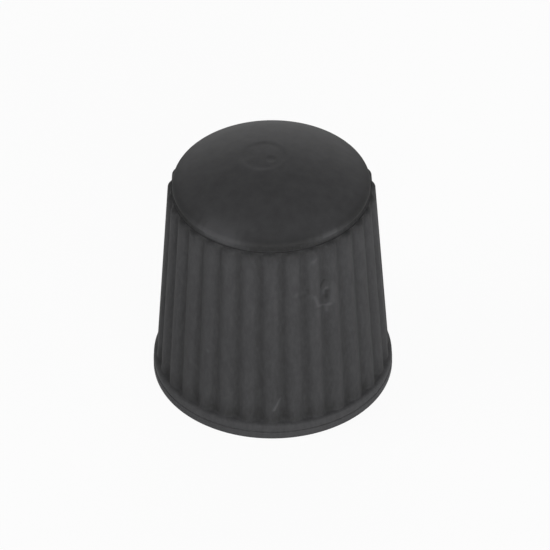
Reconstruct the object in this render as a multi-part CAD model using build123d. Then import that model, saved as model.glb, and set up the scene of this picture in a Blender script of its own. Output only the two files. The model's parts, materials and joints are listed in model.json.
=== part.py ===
"""Tyre valve cap: one plastic moulding with a foot flange, a ribbed grip, a neck and a domed crown.

The cap stands on its open end. The origin is the centre of the mouth, on the face it rests on,
and +Z runs up the cap's axis to the crown. One rib of the grip faces -Y. Sizes are in millimetres.
"""
from build123d import *
import os
from math import sqrt

# Whole height, before the gate mark is taken off the top
dome_height = 12.1

# Bore for the valve stem's 8V1 thread, as the plain wall at the roots of the cap's own thread
stem_thread_diameter = 7.75
stem_clearance = 0.06
bore_end_bevel = 0.8
lead_in_width = 0.465
lead_in_depth = 0.6

# Crown: a low wall above the neck, closed by a shallow spherical dome
crown_thickness = 1.8
crown_overhang = 0.05
crown_wall_height = 0.17
crown_rim_radius = 0.16
dome_rise = 1.41

# Neck: the narrow groove between the grip and the crown, with the wall between it and the bore
neck_wall = 0.545
neck_depth = 0.095
neck_height = 0.24

# Tapered core, which is the floor of the flutes between the ribs
core_taper = 0.58

# Foot flange, with a sloping shoulder that the ribs run down into
flange_step = 0.345
flange_wall_height = 0.74
shoulder_height = 0.28
flange_edge_radius = 0.2
flange_foot_bevel = 0.04

# Ribbed grip: low round-backed ribs that rise from the flange and slope away just below the neck
rib_count = 30
rib_radius = 0.52
rib_height = 0.18
rib_end_bevel = 0.16
rib_top_gap = 0.04

# Gate mark on top of the dome: a pit on the axis, in a shallow round recess that lies off centre
gate_recess_diameter = 2.0
gate_recess_depth = 0.035
gate_recess_x = -0.37
gate_recess_y = 0.29
gate_pit_diameter = 0.36
gate_pit_depth = 0.08

# Radii that follow from the bore outwards
bore_radius = stem_thread_diameter / 2 + stem_clearance
lead_in_radius = bore_radius + lead_in_width
neck_radius = bore_radius + neck_wall
crown_radius = neck_radius + crown_overhang
core_top_radius = neck_radius + neck_depth
core_foot_radius = core_top_radius + core_taper
flange_radius = core_foot_radius + flange_step
gate_recess_radius = gate_recess_diameter / 2
gate_pit_radius = gate_pit_diameter / 2

# Heights that follow from the whole height downwards, and from the foot up
crown_rim_height = dome_height - dome_rise
neck_top_height = crown_rim_height - crown_wall_height
neck_foot_height = neck_top_height - neck_height
bore_depth = dome_height - crown_thickness
flange_height = flange_wall_height + shoulder_height

# The dome is part of a ball
dome_radius = (crown_radius**2 + dome_rise**2) / (2 * dome_rise)
dome_centre_height = dome_height - dome_radius


def dome_surface_height(radius):
    """Height of the dome's spherical face at a distance from the axis."""
    return dome_centre_height + sqrt(dome_radius**2 - radius**2)


def core_radius(height):
    """Radius of the tapered core at a height between the flange and the neck."""
    share = (height - flange_height) / (neck_foot_height - flange_height)
    return core_foot_radius + share * (core_top_radius - core_foot_radius)


def corner_of(section, point):
    """The corner of a section sketch that lies at a point of its outline."""
    return section.vertices().sort_by_distance(point)[0]


def turned_body():
    """Flange, core, neck and domed crown: one solid section turned about the axis."""
    dome_middle = crown_radius / 2
    flange_bottom = (flange_radius, 0)
    flange_edge = (flange_radius, flange_wall_height)
    crown_rim = (crown_radius, crown_rim_height)

    with BuildSketch(Plane.XZ) as section:
        with BuildLine():
            side = Polyline(
                (0, 0),
                flange_bottom,
                flange_edge,
                (core_foot_radius, flange_height),
                (core_top_radius, neck_foot_height),
                (neck_radius, neck_foot_height),
                (neck_radius, neck_top_height),
                (crown_radius, neck_top_height),
                crown_rim,
            )
            dome = ThreePointArc(side @ 1, (dome_middle, dome_surface_height(dome_middle)), (0, dome_height))
            Line(dome @ 1, side @ 0)
        make_face()
        chamfer(corner_of(section, flange_bottom), flange_foot_bevel)
        fillet(corner_of(section, flange_edge), flange_edge_radius)
        fillet(corner_of(section, crown_rim), crown_rim_radius)
    return revolve(section.sketch, Axis.Z)


def gate_mark():
    """What the gate takes off the dome: a recess with a floor as round as the dome, and the pit in it."""
    recess_wall = Pos(gate_recess_x, gate_recess_y, dome_height) * Cylinder(gate_recess_radius, 2 * dome_rise)
    floor_ball = Pos(0, 0, dome_centre_height) * Sphere(dome_radius - gate_recess_depth)
    pit = Pos(0, 0, dome_height) * Cylinder(gate_pit_radius, 2 * (gate_recess_depth + gate_pit_depth))
    return recess_wall - floor_ball + pit


def stem_bore():
    """The space inside: a cone that leads the stem in, the plain wall and the bevelled end."""
    bore_corner = (bore_radius, bore_depth)
    with BuildSketch(Plane.XZ) as section:
        with BuildLine():
            Polyline(
                (0, 0),
                (lead_in_radius, 0),
                (bore_radius, lead_in_depth),
                bore_corner,
                (0, bore_depth),
                close=True,
            )
        make_face()
        chamfer(corner_of(section, bore_corner), bore_end_bevel)
    return revolve(section.sketch, Axis.Z)


def grip_rib():
    """One rib of the grip, facing -Y: a round bar with a bevelled end, sunk in the tapered core."""
    def axis_point(height):
        return Vector(0, -(core_radius(height) + rib_height - rib_radius), height)

    foot = axis_point(flange_height / 2)
    top = axis_point(neck_foot_height - rib_top_gap)
    length = (top - foot).length

    with BuildSketch(Plane.XZ) as half_section:
        Rectangle(rib_radius, length, align=(Align.MIN, Align.MIN))
        chamfer(corner_of(half_section, (rib_radius, length)), rib_end_bevel)
    bar = revolve(half_section.sketch, Axis.Z)

    along_rib = Plane(origin=foot, x_dir=(0, 1, 0), z_dir=top - foot)
    return along_rib.location * bar


def valve_cap():
    """The whole moulding: the turned body with its ring of ribs, less the bore and the gate mark."""
    rib = grip_rib()
    ribs = [place * rib for place in PolarLocations(0, rib_count)]
    return turned_body() + ribs - stem_bore() - gate_mark()


os.makedirs("parts", exist_ok=True)
export_step(valve_cap(), "parts/valve_cap.step")
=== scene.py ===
"""Tyre valve cap: models the ribbed plastic moulding with its thread and marks, and sets up a white studio.

The frame is the CAD model's: metres, the cap stands on its mouth at the origin, +Z runs up its axis, and
one rib of the grip faces -Y, towards the camera.
"""
import json
import math

import bmesh
import bpy
from bpy.props import FloatProperty, FloatVectorProperty, IntProperty, PointerProperty
from mathutils import Matrix, Quaternion, Vector


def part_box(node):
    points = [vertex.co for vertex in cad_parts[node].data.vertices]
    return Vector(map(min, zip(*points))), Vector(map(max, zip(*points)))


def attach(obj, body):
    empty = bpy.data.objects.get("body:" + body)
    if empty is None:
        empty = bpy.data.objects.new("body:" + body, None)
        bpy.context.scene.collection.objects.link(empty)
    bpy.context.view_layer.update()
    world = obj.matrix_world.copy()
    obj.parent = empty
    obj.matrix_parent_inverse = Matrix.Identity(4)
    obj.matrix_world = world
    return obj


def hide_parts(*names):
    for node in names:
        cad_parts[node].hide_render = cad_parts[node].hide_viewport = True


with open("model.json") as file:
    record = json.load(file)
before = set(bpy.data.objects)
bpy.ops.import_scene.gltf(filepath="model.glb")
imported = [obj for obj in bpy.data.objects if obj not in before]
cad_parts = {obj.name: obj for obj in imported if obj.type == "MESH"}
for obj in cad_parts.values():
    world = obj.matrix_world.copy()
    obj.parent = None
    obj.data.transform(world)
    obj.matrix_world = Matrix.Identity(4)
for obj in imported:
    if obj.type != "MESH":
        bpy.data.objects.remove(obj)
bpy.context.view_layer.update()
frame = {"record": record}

bl_info = {
    "name": "Tyre Valve Cap",
    "version": (1, 0, 0),
    "blender": (4, 5, 0),
    "location": "View3D > Sidebar > Valve Cap",
    "description": "Models a ribbed plastic tyre valve cap and the studio that it is shown in",
    "category": "Object",
}

MM = 0.001
CAD_NODE = "valve_cap"
CAD_BODY = "root"
PIECE_NAME = "cap_moulding"
WEAR_AND_PAINTED_LIGHT_LAYER = "wear_and_painted_light"

# Distance at which corners merge, room in tests of place, and the angle from which an edge stays sharp
MERGE_DISTANCE = 0.0005 * MM
SLACK = 0.001 * MM
SHARP_ANGLE = math.radians(35)

# Sockets of a Mix node that is set to mix colours
MIX_SHARE = 0
MIX_FIRST = 6
MIX_SECOND = 7
MIX_RESULT = 2

# Marks that use has left on the outside, and painted highlights on the crown's rim, as strokes between two
# points given in degrees from -Y and millimetres of height, each with its half width in millimetres and its
# paleness, negative for a dent
MARKS_AND_PAINTED_HIGHLIGHTS = (
    # Scuff with a dent in its middle
    ((29.1, 8.05), (30.9, 8.28), 0.07, -0.80),
    ((30.9, 8.30), (32.7, 8.26), 0.08, -0.30),
    ((31.8, 7.85), (30.4, 7.70), 0.08, 0.34),
    ((30.4, 7.70), (30.1, 7.53), 0.08, 0.34),
    ((32.5, 7.65), (31.7, 7.30), 0.10, -0.70),
    ((24.1, 7.62), (25.2, 7.36), 0.08, 0.29),
    ((25.2, 7.36), (25.9, 7.08), 0.08, 0.34),
    ((25.9, 7.06), (31.3, 6.86), 0.08, 0.34),
    ((31.3, 6.86), (33.1, 6.93), 0.10, 0.38),
    ((31.5, 6.84), (31.3, 6.55), 0.10, 0.29),
    ((35.2, 7.86), (34.6, 7.07), 0.20, 0.10),
    ((25.6, 6.77), (25.8, 6.47), 0.15, 0.10),
    # Nicks beside the scuff and above it
    ((17.5, 7.88), (18.9, 7.89), 0.09, 0.24),
    ((20.7, 8.04), (20.9, 7.87), 0.08, -0.50),
    ((24.1, 9.60), (25.7, 9.67), 0.10, 0.19),
    ((13.4, 7.89), (14.6, 7.94), 0.12, 0.14),
    # Scratch near the foot
    ((4.6, 2.10), (1.3, 1.54), 0.08, 0.36),
    # Specks on the ribs
    ((-8.6, 7.28), (-8.1, 6.98), 0.14, 0.10),
    ((14.0, 2.72), (14.3, 2.56), 0.15, 0.07),
    ((16.7, 4.03), (17.0, 3.90), 0.10, 0.10),
    ((-33.4, 3.87), (-31.6, 3.77), 0.09, 0.05),
    ((-34.5, 4.23), (-34.3, 4.16), 0.09, 0.22),
    ((-33.4, 1.88), (-33.2, 1.74), 0.11, 0.10),
    ((-44.9, 2.98), (-44.4, 2.91), 0.14, 0.07),
    ((-55.4, 8.84), (-55.0, 8.77), 0.09, 0.19),
    ((-55.9, 8.51), (-58.4, 8.11), 0.08, 0.10),
    ((-58.6, 8.08), (-58.8, 7.89), 0.10, 0.12),
    ((-61.0, 1.81), (-59.8, 1.81), 0.09, 0.16),
    ((-66.3, 1.59), (-64.0, 1.64), 0.09, 0.22),
    # Painted highlights on the crown's rim, two stretches, each as three strokes that fade towards its ends
    ((-40.0, 10.62), (-24.0, 10.62), 0.48, 0.27),
    ((-45.0, 10.62), (-19.0, 10.62), 0.48, 0.19),
    ((-50.0, 10.62), (-14.0, 10.62), 0.48, 0.11),
    ((33.0, 10.62), (41.0, 10.62), 0.32, 0.20),
    ((29.0, 10.62), (45.0, 10.62), 0.32, 0.14),
    ((25.0, 10.62), (49.0, 10.62), 0.32, 0.08),
)

# Soft boxes, each with its degrees round from -Y towards +X, degrees up, width and height in metres,
# and radiance
SOFT_BOXES = (
    ("front_box", 18, 16, 0.5, 0.25, 6.6),
    ("left_box", -80, 32, 0.35, 0.35, 2.9),
    ("right_box", 80, 26, 0.4, 0.25, 1.8),
    ("back_box", 180, 20, 0.75, 0.36, 2.4),
)

cad_low, cad_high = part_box(CAD_NODE)
valve_thread = next(mount for mount in frame["record"]["mounts"] if mount["name"] == "valve_thread")
thread_root_diameter = 2 * valve_thread["dims"]["r_mm"] * MM


def length(name, description, metres):
    """A size of the cap or of its studio, kept in metres."""
    return FloatProperty(name=name, description=description, default=metres, unit="LENGTH", precision=5)


def linear(hex_colour):
    """The linear red, green and blue of an sRGB colour that is written as six hex digits."""
    shares = [int(hex_colour[place:place + 2], 16) / 255 for place in (0, 2, 4)]
    return [share / 12.92 if share <= 0.04045 else ((share + 0.055) / 1.055) ** 2.4 for share in shares]


def colour(name, description, hex_colour):
    """A colour of a finish, written as the sRGB value that the eye sees."""
    return FloatVectorProperty(
        name=name,
        description=description,
        default=linear(hex_colour),
        subtype="COLOR",
        size=3,
        min=0.0,
        max=1.0,
    )


def factor(name, description, share):
    """A share, from 0 to 1."""
    return FloatProperty(
        name=name,
        description=description,
        default=share,
        subtype="FACTOR",
        min=0.0,
        max=1.0,
    )


def camera_angle(name, description, degrees):
    """An angle of the camera, written in degrees."""
    return FloatProperty(name=name, description=description, default=math.radians(degrees), subtype="ANGLE")


class ValveCapSizes(bpy.types.PropertyGroup):
    """Sizes of the moulding. The diameters of its flange and its bore come from the CAD model."""

    flange_diameter: length("Flange diameter", "Across the foot flange", cad_high.x - cad_low.x)
    flange_height: length("Flange height", "Height at which the grip rises out of its shoulder", 1.05 * MM)
    flange_foot_radius: length("Flange foot radius", "Rounding of the edge it stands on", 0.05 * MM)
    seam_height: length("Seam height", "Height of the mould's parting line on the flange", 0.39 * MM)
    seam_width: length("Seam width", "Width of the groove along the parting line", 0.08 * MM)
    seam_depth: length("Seam depth", "Depth of the groove along the parting line", 0.03 * MM)

    core_foot_diameter: length("Core foot diameter", "Across the flutes, at the shoulder", 10.31 * MM)
    core_top_diameter: length("Core top diameter", "Across the flutes, at the foot of the neck", 9.15 * MM)
    neck_diameter: length("Neck diameter", "Across the neck between the grip and the crown", 8.96 * MM)
    neck_foot_height: length("Neck foot height", "Height at which the grip ends", 10.28 * MM)
    neck_top_height: length("Neck top height", "Height at which the crown overhangs the neck", 10.52 * MM)
    neck_corner_radius: length("Neck corner radius", "Rounding of the neck's corners", 0.06 * MM)
    crown_diameter: length("Crown diameter", "Across the crown at its rim", 9.06 * MM)
    crown_lip_radius: length("Crown lip radius", "Rounding of the crown's lower edge", 0.03 * MM)
    crown_rim_height: length("Crown rim height", "Height at which its wall meets the dome", 10.69 * MM)
    crown_rim_radius: length("Crown rim radius", "Rounding of the crown's rim", 0.26 * MM)
    dome_height: length("Dome height", "Height that the dome would have without its gate mark", 12.1 * MM)

    gate_recess_diameter: length("Gate recess diameter", "Across the shallow recess on the dome", 2.0 * MM)
    gate_recess_depth: length("Gate recess depth", "Depth of the recess below the dome", 0.03 * MM)
    gate_recess_slope: length("Gate recess slope", "Width of the recess's soft edge", 0.3 * MM)
    gate_recess_x: length("Gate recess X", "How far the recess lies off the axis, sideways", -0.37 * MM)
    gate_recess_y: length("Gate recess Y", "How far the recess lies off the axis, to the back", 0.29 * MM)
    gate_pit_diameter: length("Gate pit diameter", "Across the pit where the runner broke off", 0.36 * MM)
    gate_pit_depth: length("Gate pit depth", "Depth of that pit", 0.03 * MM)

    rib_count: IntProperty(name="Rib count", description="Ribs around the grip", default=30, min=3)
    rib_radius: length("Rib radius", "Radius of a rib's round back", 0.52 * MM)
    rib_height: length("Rib height", "How far a rib stands out of the core", 0.18 * MM)
    rib_top_gap: length("Rib top gap", "From the end of a rib to the foot of the neck", 0.03 * MM)
    rib_end_radius: length("Rib end radius", "Rounding of a rib's upper end", 0.2 * MM)
    rib_softness: length("Rib softness", "How softly a rib runs out into the flutes", 0.05 * MM)

    bore_diameter: length("Bore diameter", "Across the roots of the thread", thread_root_diameter)
    bore_depth: length("Bore depth", "From the mouth to the end of the bore", 10.3 * MM)
    bore_end_bevel: length("Bore end bevel", "Bevel around the end of the bore", 0.8 * MM)
    lead_in_diameter: length("Lead-in diameter", "Across the mouth's cone", 8.8 * MM)
    lead_in_depth: length("Lead-in depth", "Depth of the mouth's cone", 0.6 * MM)
    mouth_edge_radius: length("Mouth edge radius", "Rounding of the mouth's edge", 0.06 * MM)

    thread_pitch: length("Thread pitch", "One turn of the stem's thread, 32 to the inch", 25.4 * MM / 32)
    thread_depth: length("Thread depth", "Height of the ridge above the bore's wall", 0.4 * MM)
    thread_crest: length("Thread crest", "Width of the ridge's crest", 0.16 * MM)
    thread_crest_radius: length("Thread crest radius", "Rounding of the crest's edges", 0.05 * MM)
    thread_start: length("Thread start", "Height at which the ridge comes out of the wall", 1.1 * MM)
    thread_end: length("Thread end", "Height at which the ridge runs out", 7.0 * MM)


class ValveCapFinish(bpy.types.PropertyGroup):
    """Colours and gloss of the plastic."""

    plastic: colour("Plastic", "Black polypropylene as moulded", "3c3c3d")
    plastic_worn: colour("Worn plastic", "The paler bloom that handling leaves", "424243")
    # The pale colour also paints the highlights and the light on the flange, the dark one the painted shade
    plastic_scraped_and_painted_light: colour("Scraped plastic", "The whitish trace of a scrape", "68686a")
    plastic_dented_and_painted_shade: colour("Dented plastic", "The dirt that settles in a dent", "2c2c2c")
    gloss: factor("Gloss", "Specular level of the plastic", 0.14)
    crown_roughness: factor("Crown roughness", "Satin of the crown", 0.6)
    grip_roughness: factor("Grip roughness", "Dullness of the grip", 0.72)
    satin_foot: length("Satin foot", "Height up to which the plastic is as dull as the grip", 10.4 * MM)
    satin_top: length("Satin top", "Height from which it has the crown's satin", 10.8 * MM)
    bloom_size: length("Bloom size", "Width of the streaks of bloom", 0.5 * MM)
    dust_size: length("Dust size", "Width of the streaks of dust on the grip", 0.16 * MM)
    dust_share: factor("Dust share", "How far the thickest dust hides the grip", 0.14)
    grain_size: length("Grain size", "Width of the grain that the mould left", 0.09 * MM)
    grain_depth: length("Grain depth", "Depth of that grain", 0.003 * MM)


class ValveCapStudio(bpy.types.PropertyGroup):
    """Floor, camera and light."""

    floor_colour: colour("Floor colour", "White paper", "f4f4f4")
    floor_radius: length("Floor radius", "Radius of the round floor", 500 * MM)
    floor_drop: length("Floor drop", "How far the floor lies below the cap's foot", 0.005 * MM)
    paper_glow: factor("Paper glow", "How far the eye sees the paper as an even white", 0.94)
    camera_distance: length("Camera distance", "From the camera to the point it looks at", 600 * MM)
    camera_lens: FloatProperty(name="Camera lens", description="Focal length in millimetres", default=856.0)
    camera_azimuth: camera_angle("Camera azimuth", "Round from -Y towards +X", 1.0)
    camera_elevation: camera_angle("Camera elevation", "Above the horizon", 39.67)
    camera_roll: camera_angle("Camera roll", "Turn about the line of sight", -0.5)
    camera_aim: FloatVectorProperty(
        name="Camera aim",
        description="The point that the camera looks at",
        default=(0.13 * MM, 0.0, 5.2 * MM),
        subtype="TRANSLATION",
        unit="LENGTH",
        precision=5,
    )


def core_radius(sizes, height):
    """Radius of the tapered core, which is the floor of the flutes, at a height."""
    share = (height - sizes.flange_height) / (sizes.neck_foot_height - sizes.flange_height)
    return (sizes.core_foot_diameter + share * (sizes.core_top_diameter - sizes.core_foot_diameter)) / 2


def rib_rise(sizes, angle, height):
    """How far a rib's back stands out of the core at an angle from -Y and a height, negative inside it.

    The rib is a round bar sunk in the core and tilted with its taper, and its upper end is rounded off.
    """
    pitch = math.tau / sizes.rib_count
    turn = (angle + pitch / 2) % pitch - pitch / 2
    rib_top = sizes.neck_foot_height - sizes.rib_top_gap
    end_share = max(0.0, 1 - (rib_top - height) / sizes.rib_end_radius)
    bar_radius = sizes.rib_radius - sizes.rib_end_radius * (1 - math.sqrt(max(0.0, 1 - end_share**2)))
    axis_radius = core_radius(sizes, height) + sizes.rib_height - sizes.rib_radius
    half_chord_square = bar_radius**2 - (axis_radius * math.sin(turn)) ** 2
    half_chord = math.sqrt(max(0.0, half_chord_square))
    return axis_radius * math.cos(turn) + half_chord - core_radius(sizes, height)


def add_chain(mesh, points):
    """Join points of the XZ plane, given as (radius, height), by a chain of edges."""
    corners = [mesh.verts.new((radius, 0.0, height)) for radius, height in points]
    for first, second in zip(corners, corners[1:]):
        mesh.edges.new((first, second))
    return corners


def corner_at(mesh, point):
    """The corner of an outline that lies at a point given as (radius, height)."""
    place = Vector((point[0], 0.0, point[1]))
    return min(mesh.verts, key=lambda vertex: (vertex.co - place).length_squared)


def round_corner(mesh, point, radius, segments):
    """Round a corner of an outline with an arc that meets both sides smoothly."""
    corner = corner_at(mesh, point)
    first, second = (edge.other_vert(corner).co - corner.co for edge in corner.link_edges)
    turn = math.pi - first.angle(second)
    bmesh.ops.bevel(
        mesh,
        geom=[corner],
        offset=radius * math.tan(turn / 2),
        offset_type="OFFSET",
        segments=segments,
        profile=0.5,
        affect="VERTICES",
        material=-1,
    )


def sweep(mesh, point, centre, turn, steps):
    """Sweep a corner of an outline about a centre into an arc, upwards from +X for a positive turn."""
    bmesh.ops.spin(
        mesh,
        geom=[corner_at(mesh, point)],
        cent=(centre[0], 0.0, centre[1]),
        axis=(0, 1, 0),
        angle=-turn,
        steps=steps,
    )


def cut_edge(mesh, first, second, rows):
    """Divide an outline's straight side between two corners into equal rows."""
    side = mesh.edges.get((corner_at(mesh, first), corner_at(mesh, second)))
    bmesh.ops.subdivide_edges(mesh, edges=[side], cuts=rows - 1)


def add_section(mesh, sizes):
    """Half section of the moulding, from the bore's end round the foot and over the dome to the axis."""
    flange_radius = sizes.flange_diameter / 2
    bore_radius = sizes.bore_diameter / 2
    crown_radius = sizes.crown_diameter / 2
    seam_half = sizes.seam_width / 2
    upper_flange_radius = flange_radius - sizes.seam_depth / 2
    core_foot_radius = sizes.core_foot_diameter / 2
    shoulder_turn = math.radians(75)
    shoulder_radius = (upper_flange_radius - core_foot_radius) / (2 - 2 * math.cos(shoulder_turn))
    shoulder_foot_height = sizes.flange_height - 2 * shoulder_radius * math.sin(shoulder_turn)
    rib_end_height = sizes.neck_foot_height - sizes.rib_end_radius
    dome_rise = sizes.dome_height - sizes.crown_rim_height
    dome_radius = (crown_radius**2 + dome_rise**2) / (2 * dome_rise)
    dome_centre = sizes.dome_height - dome_radius

    bore_corner = (bore_radius, sizes.bore_depth - sizes.bore_end_bevel)
    bore_mouth = (bore_radius, sizes.lead_in_depth)
    mouth_edge = (sizes.lead_in_diameter / 2, 0.0)
    flange_bottom = (flange_radius, 0.0)
    shoulder_foot = (upper_flange_radius, shoulder_foot_height)
    core_foot = (core_foot_radius, sizes.flange_height)
    rib_end = (core_radius(sizes, rib_end_height), rib_end_height)
    core_top = (core_radius(sizes, sizes.neck_foot_height), sizes.neck_foot_height)
    neck_foot = (sizes.neck_diameter / 2, sizes.neck_foot_height)
    neck_top = (sizes.neck_diameter / 2, sizes.neck_top_height)
    crown_lip = (crown_radius, sizes.neck_top_height)
    crown_rim = (crown_radius, sizes.crown_rim_height)
    add_chain(
        mesh,
        [
            (0.0, sizes.bore_depth),
            (bore_radius - sizes.bore_end_bevel, sizes.bore_depth),
            bore_corner,
            bore_mouth,
            mouth_edge,
            flange_bottom,
            (flange_radius, sizes.seam_height - seam_half),
            (flange_radius - sizes.seam_depth, sizes.seam_height),
            (upper_flange_radius, sizes.seam_height + seam_half),
            shoulder_foot,
        ],
    )
    grip_corners = add_chain(mesh, [rib_end, core_top, neck_foot, neck_top, crown_lip, crown_rim])

    # The flange's shoulder is an S of two equal arcs, which lead from its wall into the grip
    shoulder_middle = (
        upper_flange_radius - shoulder_radius * (1 - math.cos(shoulder_turn)),
        sizes.flange_height - shoulder_radius * math.sin(shoulder_turn),
    )
    outer_centre = (upper_flange_radius - shoulder_radius, shoulder_foot_height)
    inner_centre = (core_foot_radius + shoulder_radius, sizes.flange_height)
    sweep(mesh, shoulder_foot, outer_centre, shoulder_turn, steps=6)
    sweep(mesh, shoulder_middle, inner_centre, -shoulder_turn, steps=6)
    mesh.edges.new((corner_at(mesh, core_foot), grip_corners[0]))

    # The dome's arc has finer steps on top, where the gate's recess is pressed into it
    top_radius = sizes.gate_recess_diameter
    top_edge = (top_radius, dome_centre + math.sqrt(dome_radius**2 - top_radius**2))
    rim_turn = math.asin(crown_radius / dome_radius)
    top_turn = math.asin(top_radius / dome_radius)
    sweep(mesh, crown_rim, (0.0, dome_centre), rim_turn - top_turn, steps=8)
    sweep(mesh, top_edge, (0.0, dome_centre), top_turn, steps=28)

    cut_edge(mesh, bore_corner, bore_mouth, rows=4)
    cut_edge(mesh, core_foot, rib_end, rows=24)
    cut_edge(mesh, rib_end, core_top, rows=8)
    round_corner(mesh, mouth_edge, sizes.mouth_edge_radius, segments=3)
    round_corner(mesh, flange_bottom, sizes.flange_foot_radius, segments=3)
    round_corner(mesh, neck_foot, sizes.neck_corner_radius, segments=3)
    round_corner(mesh, neck_top, sizes.neck_corner_radius, segments=3)
    round_corner(mesh, crown_lip, sizes.crown_lip_radius, segments=2)
    round_corner(mesh, crown_rim, sizes.crown_rim_radius, segments=9)


def shoulder_edge_height(sizes):
    """A height on the rounded edge where the flange's wall turns into its shoulder."""
    return sizes.flange_height - (sizes.flange_diameter - sizes.core_foot_diameter) / 2


def on_grip(sizes, vertex):
    """Whether a vertex lies on the outside of the grip or of the flange's shoulder."""
    if not shoulder_edge_height(sizes) < vertex.co.z < sizes.neck_foot_height + SLACK:
        return False
    return vertex.co.xy.length > core_radius(sizes, vertex.co.z) - SLACK


def raise_ribs(mesh, sizes):
    """Move the vertices of the core and of the flange's shoulder outwards where a rib stands on them."""
    for vertex in mesh.verts:
        if on_grip(sizes, vertex):
            radius = vertex.co.xy.length
            rise = rib_rise(sizes, math.atan2(vertex.co.x, -vertex.co.y), vertex.co.z)
            depth = radius - core_radius(sizes, vertex.co.z) - rise
            vertex.co.xy *= (radius - depth / 2 + math.hypot(depth, sizes.rib_softness) / 2) / radius


def soft_step(share):
    """0 below a share of 0, 1 above a share of 1 and a smooth rise between."""
    share = min(1.0, max(0.0, share))
    return share * share * (3 - 2 * share)


def press_gate(mesh, sizes):
    """Press the gate's soft recess and the pit in it into the top of the dome."""
    recess_centre = Vector((sizes.gate_recess_x, sizes.gate_recess_y))
    slope = sizes.gate_recess_slope
    pit_slope = sizes.gate_pit_diameter / 2
    for vertex in mesh.verts:
        if vertex.co.z > sizes.crown_rim_height:
            inside_recess = sizes.gate_recess_diameter / 2 - (vertex.co.xy - recess_centre).length
            inside_pit = sizes.gate_pit_diameter / 2 - vertex.co.xy.length
            vertex.co.z -= sizes.gate_recess_depth * soft_step(inside_recess / slope + 0.5)
            vertex.co.z -= sizes.gate_pit_depth * soft_step(inside_pit / pit_slope + 0.5)


def stroke_distance(start, end, angle, height):
    """Distance in metres, on the unrolled grip, from a point to a stroke between two points of MARKS_AND_PAINTED_HIGHLIGHTS."""
    grip_radius = 5 * MM
    first, second = (Vector((math.radians(turn) * grip_radius, up * MM)) for turn, up in (start, end))
    point = Vector((angle * grip_radius, height))
    along = second - first
    share = min(1.0, max(0.0, (point - first).dot(along) / along.length_squared))
    return (point - first - along * share).length


def refine_grip(mesh, sizes):
    """Cut the grip's long faces into short rows wherever a mark lies on them."""
    reach = 0.3 * MM
    row = 0.05 * MM
    shortest = 4 * row
    uprights = []
    for edge in mesh.edges:
        low, high = sorted(edge.verts, key=lambda vertex: vertex.co.z)
        if high.co.z - low.co.z > shortest and on_grip(sizes, low) and on_grip(sizes, high):
            angle = math.atan2(low.co.x, -low.co.y)
            heights = (low.co.z, (low.co.z + high.co.z) / 2, high.co.z)
            if any(
                stroke_distance(start, end, angle, height) < reach
                for start, end, _, _ in MARKS_AND_PAINTED_HIGHLIGHTS
                for height in heights
            ):
                uprights.append(edge)
    bmesh.ops.subdivide_edges(mesh, edges=uprights, cuts=round(uprights[0].calc_length() / row) - 1)
    bmesh.ops.triangulate(mesh, faces=[face for face in mesh.faces if len(face.verts) > 4])


def painted_shade(sizes, radius, height):
    """How much shade is painted on the outside: most about the neck, less in the flutes, at the shoulder,
    under the rib ends and towards the foot.
    """
    # Painted shade about the neck, under the crown's overhang and on the crown's lower wall
    neck_shade = 0.95
    neck_reach = 0.52 * MM
    if height > sizes.neck_foot_height:
        return neck_shade * (1 - soft_step((height - sizes.neck_top_height) / neck_reach))

    # Painted shade in the flutes, at the shoulder and under the rib ends, and darker towards the foot
    flute_shade = 0.45
    shoulder_shade = 0.35
    rib_end_shade = 0.5
    foot_shade = 0.25
    corner_reach = 0.4 * MM
    stand = (radius - core_radius(sizes, height)) / sizes.rib_height
    flutes = flute_shade * max(0.0, 1 - stand) ** 2
    shoulder = shoulder_shade * math.exp(-(((height - sizes.flange_height) / corner_reach) ** 2))
    rib_ends = rib_end_shade * math.exp(-(((height - sizes.neck_foot_height) / corner_reach) ** 2))
    foot = foot_shade * (1 - height / sizes.neck_foot_height)
    return flutes + shoulder + rib_ends + foot


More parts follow.
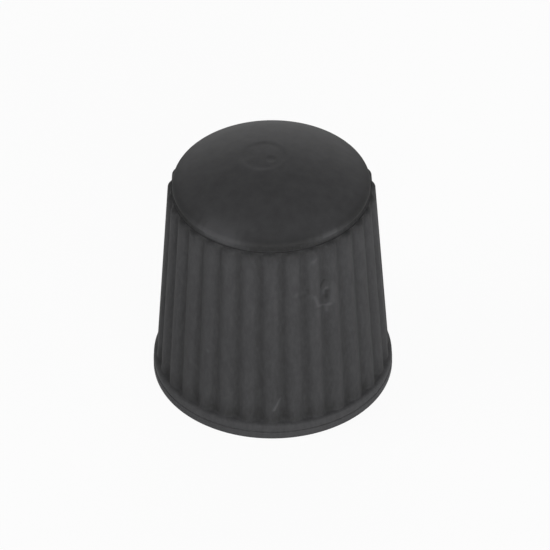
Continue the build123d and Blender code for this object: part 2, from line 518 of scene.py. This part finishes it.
def press_marks(mesh, sizes):
    """Raise the grip a little at the pale scrapes, dent it at the dark ones, and note them and the painted
    light and shade.

    The layer is above 0 where a scrape has paled the plastic, where a highlight is painted on the crown's
    rim, where painted light pales the flange's wall, and a little all over the grip. It is below 0 at dents
    and where shade is painted about the neck, in the flutes, at the shoulder, at the rib ends, in the seam
    and towards the foot.
    """
    wear_and_painted_light = mesh.verts.layers.float.new(WEAR_AND_PAINTED_LIGHT_LAYER)
    scrape_height = 0.008 * MM
    dent_depth = 0.03 * MM
    # An even paleness over the grip, painted light that pales the flange's wall, and painted shade in the
    # seam's groove
    grip_paleness = 0.06
    flange_painted_light = 0.09
    seam_shade = 0.4
    # The paleness of a mark that clears all the painted shade under it; on the crown the marks are painted
    # highlights
    grip_cleared = 0.6
    crown_cleared = 0.2
    edge_height = shoulder_edge_height(sizes)
    flange_light_reach = 0.7 * (sizes.flange_height - edge_height)
    for vertex in mesh.verts:
        radius = vertex.co.xy.length
        height = vertex.co.z
        gripped = on_grip(sizes, vertex)
        if gripped or height > sizes.bore_depth + SLACK:
            angle = math.atan2(vertex.co.x, -vertex.co.y)
            traces = [0.0]
            for start, end, half_width, paleness in MARKS_AND_PAINTED_HIGHLIGHTS:
                distance = stroke_distance(start, end, angle, height)
                traces.append(paleness * math.exp(-((distance / (half_width * MM)) ** 2)))
            # The palest trace, which on the crown's rim is a painted highlight
            scrape = max(traces)
            dent = -min(traces)
            cleared = scrape / (grip_cleared if gripped else crown_cleared)
            # The painted shade, taken away under pale marks
            dirt = painted_shade(sizes, radius, height) * max(0.0, 1 - cleared)
            if gripped:
                # Painted light on the flange's shoulder edge fades into the grip's even paleness, less the
                # painted shade
                edge_share = soft_step(1 - (height - edge_height) / flange_light_reach)
                painted_light_and_shade = edge_share * flange_painted_light + (1 - edge_share) * (grip_paleness - dirt)
                vertex[wear_and_painted_light] = painted_light_and_shade + scrape - dent
                vertex.co.xy *= 1 + (scrape * scrape_height - dent * dent_depth) / radius
            else:
                vertex[wear_and_painted_light] = scrape - dirt
        elif height < sizes.flange_height and radius > sizes.core_foot_diameter / 2:
            # Painted shade in the seam's groove, painted light on the rest of the flange's wall
            in_seam = abs(height - sizes.seam_height) < sizes.seam_width / 4
            vertex[wear_and_painted_light] = -seam_shade if in_seam else flange_painted_light


def add_thread_ridge(mesh, sizes):
    """The thread's right-handed helix, sunk a little into the bore's wall, with ends that run out."""
    sunk = 0.05 * MM
    flank_angle = math.radians(30)
    steps_per_turn = 96
    base_radius = sizes.bore_diameter / 2 + sunk
    crest_radius = sizes.bore_diameter / 2 - sizes.thread_depth
    crest_half = sizes.thread_crest / 2
    base_half = crest_half + (base_radius - crest_radius) * math.tan(flank_angle)
    turns = (sizes.thread_end - sizes.thread_start) / sizes.thread_pitch

    crest_corners = [(crest_radius, sizes.thread_start + side * crest_half) for side in (-1, 1)]
    corners = add_chain(
        mesh,
        [
            (base_radius, sizes.thread_start - base_half),
            *crest_corners,
            (base_radius, sizes.thread_start + base_half),
        ],
    )
    mesh.edges.new((corners[-1], corners[0]))
    for corner in crest_corners:
        round_corner(mesh, corner, sizes.thread_crest_radius, segments=3)
    steps = round(turns * steps_per_turn)
    bmesh.ops.spin(
        mesh,
        geom=mesh.verts[:] + mesh.edges[:],
        cent=(0, 0, 0),
        axis=(0, 0, 1),
        dvec=(0, 0, sizes.thread_pitch / steps_per_turn),
        angle=math.tau * steps / steps_per_turn,
        steps=steps,
    )
    bmesh.ops.holes_fill(mesh, edges=[edge for edge in mesh.edges if edge.is_boundary], sides=0)
    bmesh.ops.recalc_face_normals(mesh, faces=mesh.faces[:])

    run_out = sizes.thread_pitch
    lowest = sizes.thread_start - base_half
    highest = sizes.thread_end + base_half
    for vertex in mesh.verts:
        share = min(1.0, (vertex.co.z - lowest) / run_out, (highest - vertex.co.z) / run_out)
        radius = vertex.co.xy.length
        vertex.co.xy *= (base_radius + (radius - base_radius) * max(0.0, share)) / radius


def merge_slivers(data):
    """Merge the corners that a union left in the same place, and dissolve the slivers between them."""
    mesh = bmesh.new()
    mesh.from_mesh(data)
    bmesh.ops.remove_doubles(mesh, verts=mesh.verts[:], dist=MERGE_DISTANCE)
    bmesh.ops.dissolve_degenerate(mesh, edges=mesh.edges[:], dist=MERGE_DISTANCE)
    if any(not edge.is_manifold for edge in mesh.edges):
        raise RuntimeError("the moulding is no longer closed")
    mesh.to_mesh(data)
    mesh.free()


def mesh_object(name, mesh):
    """Turn a finished bmesh into a smooth-shaded object at the origin."""
    for face in mesh.faces:
        face.smooth = True
    data = bpy.data.meshes.new(name)
    mesh.to_mesh(data)
    mesh.free()
    piece = bpy.data.objects.new(name, data)
    bpy.context.scene.collection.objects.link(piece)
    return piece


def add_node(tree, kind, inputs=None, **settings):
    """Add a node with its settings, and give its inputs values or links from other nodes' outputs."""
    node = tree.nodes.new(kind)
    for name, value in settings.items():
        setattr(node, name, value)
    for name, value in (inputs or {}).items():
        if isinstance(value, bpy.types.NodeSocket):
            tree.links.new(value, node.inputs[name])
        else:
            node.inputs[name].default_value = value
    return node


def new_material(name):
    """An empty node material and its tree."""
    material = bpy.data.materials.new(name)
    material.use_nodes = True
    material.node_tree.nodes.clear()
    return material, material.node_tree


def moulded_polypropylene(finish):
    """Black polypropylene as it leaves a fine-eroded mould.

    The eye sees a neutral charcoal with a faint streaky bloom. The crown has kept a satin sheen, the grip
    is dull with dust, scrapes show whitish and dirt darkens dents. Shade is painted into the flutes, the
    shoulder, the rib ends, the seam and the neck, light is painted onto the flange's wall, and highlights
    are painted on the crown's rim.
    The grain that such a mould leaves is too fine to show, so it is drawn coarser.
    """
    material, tree = new_material("Moulded black polypropylene")
    place = add_node(tree, "ShaderNodeTexCoord").outputs["Object"]
    height = add_node(tree, "ShaderNodeSeparateXYZ", {"Vector": place}).outputs["Z"]
    grip_to_crown = {"Value": height, "From Min": finish.satin_foot, "From Max": finish.satin_top}

    # Bloom, in streaks along the axis
    streaks = add_node(tree, "ShaderNodeMapping", {"Vector": place, "Scale": (1.0, 1.0, 0.4)})
    bloom = add_node(
        tree,
        "ShaderNodeTexNoise",
        {
            "Vector": streaks.outputs["Vector"],
            "Scale": 1 / finish.bloom_size,
            "Detail": 4.0,
            "Roughness": 0.6,
        },
    )
    bloom_share = add_node(
        tree,
        "ShaderNodeMapRange",
        {"Value": bloom.outputs["Fac"], "From Min": 0.3, "From Max": 0.7},
    )
    bloomed = add_node(
        tree,
        "ShaderNodeMix",
        {
            MIX_SHARE: bloom_share.outputs["Result"],
            MIX_FIRST: (*finish.plastic, 1.0),
            MIX_SECOND: (*finish.plastic_worn, 1.0),
        },
        data_type="RGBA",
    )

    # What the mesh carries: pale scrapes, painted highlights and painted light above 0, dents and painted
    # shade below
    wear_and_painted_light = add_node(tree, "ShaderNodeAttribute", attribute_name=WEAR_AND_PAINTED_LIGHT_LAYER).outputs["Fac"]
    # Below 0 the layer holds the dents and the painted shade
    dent = add_node(tree, "ShaderNodeMath", {0: wear_and_painted_light, 1: -1.0}, operation="MULTIPLY").outputs[0]
    scraped_and_painted_light = add_node(
        tree,
        "ShaderNodeMix",
        {
            MIX_SHARE: wear_and_painted_light,
            MIX_FIRST: bloomed.outputs[MIX_RESULT],
            MIX_SECOND: (*finish.plastic_scraped_and_painted_light, 1.0),
        },
        data_type="RGBA",
    )
    dented_and_painted_shade = add_node(
        tree,
        "ShaderNodeMix",
        {
            MIX_SHARE: dent,
            MIX_FIRST: scraped_and_painted_light.outputs[MIX_RESULT],
            MIX_SECOND: (*finish.plastic_dented_and_painted_shade, 1.0),
        },
        data_type="RGBA",
    )

    # Dust, in finer streaks on the grip alone
    dust = add_node(
        tree,
        "ShaderNodeTexNoise",
        {
            "Vector": streaks.outputs["Vector"],
            "Scale": 1 / finish.dust_size,
            "Detail": 3.0,
            "Roughness": 0.6,
        },
    )
    most_dust = add_node(
        tree,
        "ShaderNodeMapRange",
        {**grip_to_crown, "To Min": finish.dust_share, "To Max": 0.0},
    )
    dust_share = add_node(
        tree,
        "ShaderNodeMapRange",
        {
            "Value": dust.outputs["Fac"],
            "From Min": 0.4,
            "From Max": 0.8,
            "To Max": most_dust.outputs["Result"],
        },
    )
    dusty = add_node(
        tree,
        "ShaderNodeMix",
        {
            MIX_SHARE: dust_share.outputs["Result"],
            MIX_FIRST: dented_and_painted_shade.outputs[MIX_RESULT],
            MIX_SECOND: (*finish.plastic_scraped_and_painted_light, 1.0),
        },
        data_type="RGBA",
    )

    # Grain and sheen
    grain = add_node(
        tree,
        "ShaderNodeTexNoise",
        {"Vector": place, "Scale": 1 / finish.grain_size, "Detail": 3.0},
    )
    relief = add_node(
        tree,
        "ShaderNodeBump",
        {"Height": grain.outputs["Fac"], "Distance": finish.grain_depth, "Strength": 1.0},
    )
    roughness = add_node(
        tree,
        "ShaderNodeMapRange",
        {**grip_to_crown, "To Min": finish.grip_roughness, "To Max": finish.crown_roughness},
    )
    surface = add_node(
        tree,
        "ShaderNodeBsdfPrincipled",
        {
            "Base Color": dusty.outputs[MIX_RESULT],
            "Roughness": roughness.outputs["Result"],
            "IOR": 1.49,
            "Specular IOR Level": finish.gloss,
            "Normal": relief.outputs["Normal"],
        },
    )
    add_node(tree, "ShaderNodeOutputMaterial", {"Surface": surface.outputs["BSDF"]})
    return material


def background_rays(tree):
    """1 where a ray shows the background to the eye, directly or in a reflection or through glass."""
    path = add_node(tree, "ShaderNodeLightPath")
    direct = add_node(
        tree,
        "ShaderNodeMath",
        {0: path.outputs["Is Camera Ray"], 1: path.outputs["Is Glossy Ray"]},
        operation="MAXIMUM",
    )
    seen = add_node(
        tree,
        "ShaderNodeMath",
        {0: direct.outputs[0], 1: path.outputs["Is Transmission Ray"]},
        operation="MAXIMUM",
    )
    return seen.outputs[0]


def white_paper(studio):
    """Matt white paper, which the eye sees as an even white that still takes the cap's soft shadow."""
    material, tree = new_material("Matt white paper")
    share = add_node(
        tree,
        "ShaderNodeMath",
        {0: background_rays(tree), 1: studio.paper_glow},
        operation="MULTIPLY",
    )
    paper = add_node(tree, "ShaderNodeBsdfDiffuse", {"Color": (*studio.floor_colour, 1.0)})
    glow = add_node(tree, "ShaderNodeEmission", {"Color": (1.0, 1.0, 1.0, 1.0), "Strength": 1.0})
    mixed = add_node(
        tree,
        "ShaderNodeMixShader",
        {0: share.outputs[0], 1: paper.outputs["BSDF"], 2: glow.outputs["Emission"]},
    )
    add_node(tree, "ShaderNodeOutputMaterial", {"Surface": mixed.outputs["Shader"]})
    return material


def white_tent():
    """A tent that is white around the horizon and dim overhead."""
    world = bpy.data.worlds.new("White tent")
    world.use_nodes = True
    tree = world.node_tree
    tree.nodes.clear()
    ray = add_node(tree, "ShaderNodeTexCoord").outputs["Generated"]
    rise = add_node(tree, "ShaderNodeSeparateXYZ", {"Vector": ray}).outputs["Z"]
    brightness = add_node(
        tree,
        "ShaderNodeMapRange",
        {"Value": rise, "From Min": 0.02, "From Max": 0.12, "To Min": 1.0, "To Max": 0.1},
        interpolation_type="SMOOTHSTEP",
    )
    cloth = add_node(tree, "ShaderNodeBackground", {"Strength": brightness.outputs["Result"]})
    add_node(tree, "ShaderNodeOutputWorld", {"Surface": cloth.outputs[0]})
    return world


def direction(azimuth, elevation):
    """The direction at an angle round from -Y towards +X and an angle up from the horizon."""
    level = math.cos(elevation)
    return Vector((math.sin(azimuth) * level, -math.cos(azimuth) * level, math.sin(elevation)))


def add_soft_box(name, azimuth, elevation, width, height, radiance):
    """A rectangular soft box that faces the cap, at degrees round from -Y towards +X and degrees up."""
    distance = 0.6
    outwards = direction(math.radians(azimuth), math.radians(elevation))
    data = bpy.data.lights.new(name, "AREA")
    data.shape = "RECTANGLE"
    data.size = width
    data.size_y = height
    data.energy = math.pi * width * height * radiance
    lamp = bpy.data.objects.new(name, data)
    lamp.location = outwards * distance
    lamp.rotation_mode = "QUATERNION"
    lamp.rotation_quaternion = (-outwards).to_track_quat("-Z", "Y")
    bpy.context.scene.collection.objects.link(lamp)


class VALVECAP_OT_add_moulding(bpy.types.Operator):
    """Model the cap's moulding: flange, ribbed grip, domed crown with its gate mark, and bore"""

    bl_idname = "valve_cap.add_moulding"
    bl_label = "Add moulding"

    def execute(self, context):
        sizes = context.scene.valve_cap_sizes
        columns_per_rib = 16
        rib_pitch = math.tau / sizes.rib_count
        mesh = bmesh.new()
        add_section(mesh, sizes)
        bmesh.ops.spin(
            mesh,
            geom=mesh.verts[:] + mesh.edges[:],
            cent=(0, 0, 0),
            axis=(0, 0, 1),
            angle=rib_pitch,
            steps=columns_per_rib,
        )
        raise_ribs(mesh, sizes)
        bmesh.ops.spin(
            mesh,
            geom=mesh.verts[:] + mesh.edges[:] + mesh.faces[:],
            cent=(0, 0, 0),
            axis=(0, 0, 1),
            angle=math.tau - rib_pitch,
            steps=sizes.rib_count - 1,
            use_duplicate=True,
        )
        bmesh.ops.remove_doubles(mesh, verts=mesh.verts[:], dist=MERGE_DISTANCE)
        bmesh.ops.recalc_face_normals(mesh, faces=mesh.faces[:])
        press_gate(mesh, sizes)
        refine_grip(mesh, sizes)
        press_marks(mesh, sizes)
        piece = mesh_object(PIECE_NAME, mesh)
        piece.data.materials.append(moulded_polypropylene(context.scene.valve_cap_finish))
        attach(piece, CAD_BODY)
        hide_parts(CAD_NODE)
        return {"FINISHED"}


class VALVECAP_OT_add_thread(bpy.types.Operator):
    """Grow the thread's helical ridge onto the wall of the moulding's bore"""

    bl_idname = "valve_cap.add_thread"
    bl_label = "Add thread"

    def execute(self, context):
        piece = bpy.data.objects[PIECE_NAME]
        mesh = bmesh.new()
        add_thread_ridge(mesh, context.scene.valve_cap_sizes)
        ridge = mesh_object("thread_ridge", mesh)
        union = piece.modifiers.new("Thread", "BOOLEAN")
        union.operation = "UNION"
        union.solver = "MANIFOLD"
        union.object = ridge
        plain = piece.data
        evaluated = piece.evaluated_get(context.evaluated_depsgraph_get())
        threaded = bpy.data.meshes.new_from_object(evaluated)
        if len(threaded.vertices) <= len(plain.vertices):
            raise RuntimeError("the thread's ridge did not join the moulding")
        merge_slivers(threaded)
        piece.modifiers.remove(union)
        piece.data = threaded
        threaded.name = PIECE_NAME
        threaded.set_sharp_from_angle(angle=SHARP_ANGLE)
        bpy.data.meshes.remove(plain)
        bpy.data.objects.remove(ridge)
        weighted = piece.modifiers.new("Weighted normals", "WEIGHTED_NORMAL")
        weighted.keep_sharp = True
        return {"FINISHED"}


class VALVECAP_OT_set_studio(bpy.types.Operator):
    """Put the cap on white paper, with soft light from all round and a camera at the photo's angle"""

    bl_idname = "valve_cap.set_studio"
    bl_label = "Set studio"

    def execute(self, context):
        scene = context.scene
        studio = scene.valve_cap_studio

        mesh = bmesh.new()
        bmesh.ops.create_circle(mesh, cap_ends=True, segments=96, radius=studio.floor_radius)
        floor = mesh_object("paper_floor", mesh)
        floor.data.transform(Matrix.Translation((0.0, 0.0, -studio.floor_drop)))
        floor.data.materials.append(white_paper(studio))

        scene.world = white_tent()

        for box in SOFT_BOXES:
            add_soft_box(*box)

        data = bpy.data.cameras.new("photo_camera")
        data.lens = studio.camera_lens
        data.sensor_width = 36.0
        data.clip_start = 0.01
        data.clip_end = 10.0
        camera = bpy.data.objects.new("photo_camera", data)
        back = direction(studio.camera_azimuth, studio.camera_elevation)
        camera.location = Vector(studio.camera_aim) + back * studio.camera_distance
        camera.rotation_mode = "QUATERNION"
        roll = Quaternion((0.0, 0.0, 1.0), studio.camera_roll)
        camera.rotation_quaternion = (-back).to_track_quat("-Z", "Y") @ roll
        scene.collection.objects.link(camera)
        scene.camera = camera
        scene.view_settings.view_transform = "Standard"
        return {"FINISHED"}


class VALVECAP_PT_sidebar(bpy.types.Panel):
    """Lists the cap's operators with the sizes, colours and studio settings they use"""

    bl_label = "Tyre Valve Cap"
    bl_space_type = "VIEW_3D"
    bl_region_type = "UI"
    bl_category = "Valve Cap"

    def draw(self, context):
        layout = self.layout
        for operator in (VALVECAP_OT_add_moulding, VALVECAP_OT_add_thread, VALVECAP_OT_set_studio):
            layout.operator(operator.bl_idname)
        scene = context.scene
        for settings in (scene.valve_cap_sizes, scene.valve_cap_finish, scene.valve_cap_studio):
            box = layout.box()
            for name in settings.__annotations__:
                box.prop(settings, name)


CLASSES = (
    ValveCapSizes,
    ValveCapFinish,
    ValveCapStudio,
    VALVECAP_OT_add_moulding,
    VALVECAP_OT_add_thread,
    VALVECAP_OT_set_studio,
    VALVECAP_PT_sidebar,
)


def register():
    """Register the classes and give the scene their settings."""
    for cls in CLASSES:
        bpy.utils.register_class(cls)
    bpy.types.Scene.valve_cap_sizes = PointerProperty(type=ValveCapSizes)
    bpy.types.Scene.valve_cap_finish = PointerProperty(type=ValveCapFinish)
    bpy.types.Scene.valve_cap_studio = PointerProperty(type=ValveCapStudio)


def unregister():
    """Take the settings and classes away again."""
    del bpy.types.Scene.valve_cap_studio
    del bpy.types.Scene.valve_cap_finish
    del bpy.types.Scene.valve_cap_sizes
    for cls in reversed(CLASSES):
        bpy.utils.unregister_class(cls)


def main():
    """Build the cap and its studio."""
    register()
    bpy.ops.valve_cap.add_moulding()
    bpy.ops.valve_cap.add_thread()
    bpy.ops.valve_cap.set_studio()


if __name__ == "__main__":
    main()
